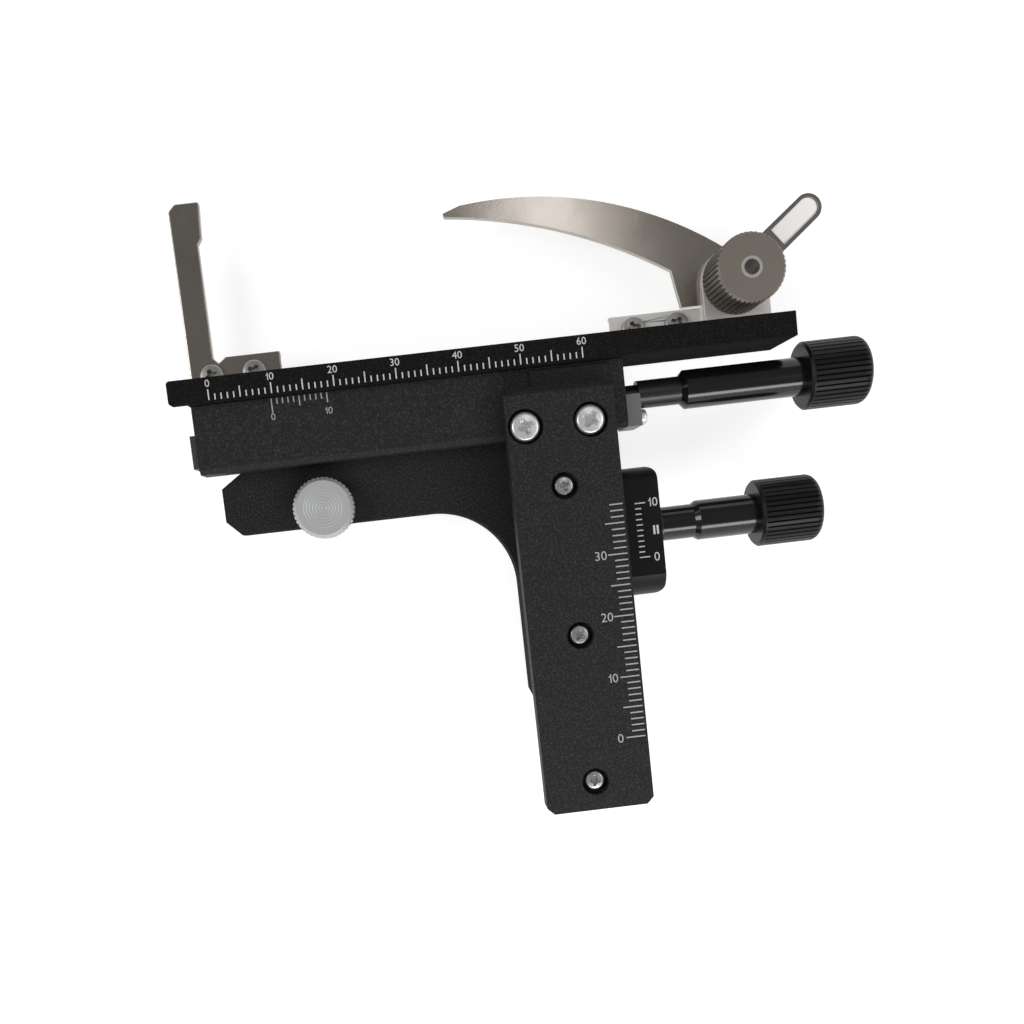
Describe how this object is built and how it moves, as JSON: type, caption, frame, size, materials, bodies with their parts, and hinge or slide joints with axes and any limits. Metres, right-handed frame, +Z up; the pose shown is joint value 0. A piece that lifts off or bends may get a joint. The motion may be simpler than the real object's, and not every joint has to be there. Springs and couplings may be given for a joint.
{
  "type": "mechanical stage",
  "caption": "Attachable mechanical stage of a microscope: rack and pinion fore and aft, lead screw across, with scales, verniers and a spring slide holder.",
  "frame": {"origin": "the mounting thumbscrew's axis on the surface of the microscope stage that the arm lies on", "axes": "+X along the cross slide towards the knobs, +Y away from the user, +Z up"},
  "size_m": [0.1141, 0.1076, 0.0213],
  "materials": {
    "black_paint": "satin",
    "slide_black": "satin",
    "dark_plate": "satin",
    "black_plastic": "gloss",
    "black_steel": "satin",
    "satin_nickel": "satin",
    "bright_zinc": "gloss",
    "turned_grey": "satin",
    "brass": "satin",
    "steel": "satin"
  },
  "bodies": {
    "bracket": {"bracket": "black_paint", "locating_pins": "steel", "vernier_block": "slide_black", "vernier_block_screws": "black_steel", "pinion_bush": "black_steel"},
    "thumbscrew": {"thumbscrew": "turned_grey"},
    "y_carriage": {"y_bar": "black_paint", "dovetail_rail": "steel", "rack": "brass", "rail_screws": "bright_zinc", "bar_screws": "bright_zinc", "x_guide": "black_paint", "guide_end_plate": "dark_plate", "end_plate_screw": "black_steel", "keeper_plate": "dark_plate", "keeper_screw": "bright_zinc"},
    "pinion_drive": {"pinion": "brass", "pinion_shaft": "steel", "pinion_sleeve": "black_plastic", "fore_aft_knob": "black_plastic"},
    "screw_drive": {"lead_screw": "black_steel", "lead_screw_sleeve": "black_plastic", "cross_knob": "black_plastic"},
    "x_carriage": {"x_slide": "slide_black", "traversing_nut": "brass", "nut_screw": "black_steel", "fixed_finger": "satin_nickel", "fixed_finger_screws": "bright_zinc", "clip_base": "satin_nickel", "clip_base_screws": "bright_zinc"},
    "lever": {"clip_lever": "satin_nickel", "pivot_pin": "satin_nickel", "spring_drum": "satin_nickel", "clip_spring": "steel"}
  },
  "joints": [
    {"name": "y_travel", "type": "slide", "parent": "bracket", "child": "y_carriage", "axis": [0, 1, 0], "range_m": [-0.0015, 0.0295]},
    {"name": "x_travel", "type": "slide", "parent": "y_carriage", "child": "x_carriage", "axis": [1, 0, 0], "range_m": [-0.0505, 0.0095]},
    {"name": "fore_aft_turn", "type": "hinge", "parent": "bracket", "child": "pinion_drive", "pos_m": [0.0392, -0.0091, 0.0059], "axis": [1, 0, 0], "range_deg": [-565, 30]},
    {"name": "cross_turn", "type": "hinge", "parent": "y_carriage", "child": "screw_drive", "pos_m": [0.0392, 0.0127, 0.0069], "axis": [1, 0, 0], "range_deg": [-172, 910]},
    {"name": "lever_pivot", "type": "hinge", "parent": "x_carriage", "child": "lever", "pos_m": [0.0732, 0.0302, 0.002], "axis": [0, 0, 1], "range_deg": [-45, 0], "stiffness_Nm_per_rad": 0.02, "springref_deg": 57.3},
    {"name": "thumbscrew_turn", "type": "hinge", "parent": "bracket", "child": "thumbscrew", "pos_m": [0, 0, 0], "axis": [0, 0, 1], "continuous": true}
  ],
  "couplings": [
    {"joint": "fore_aft_turn", "follows": "y_travel", "rad_per_m": -333.33},
    {"joint": "cross_turn", "follows": "x_travel", "rad_per_m": -314.16}
  ]
}
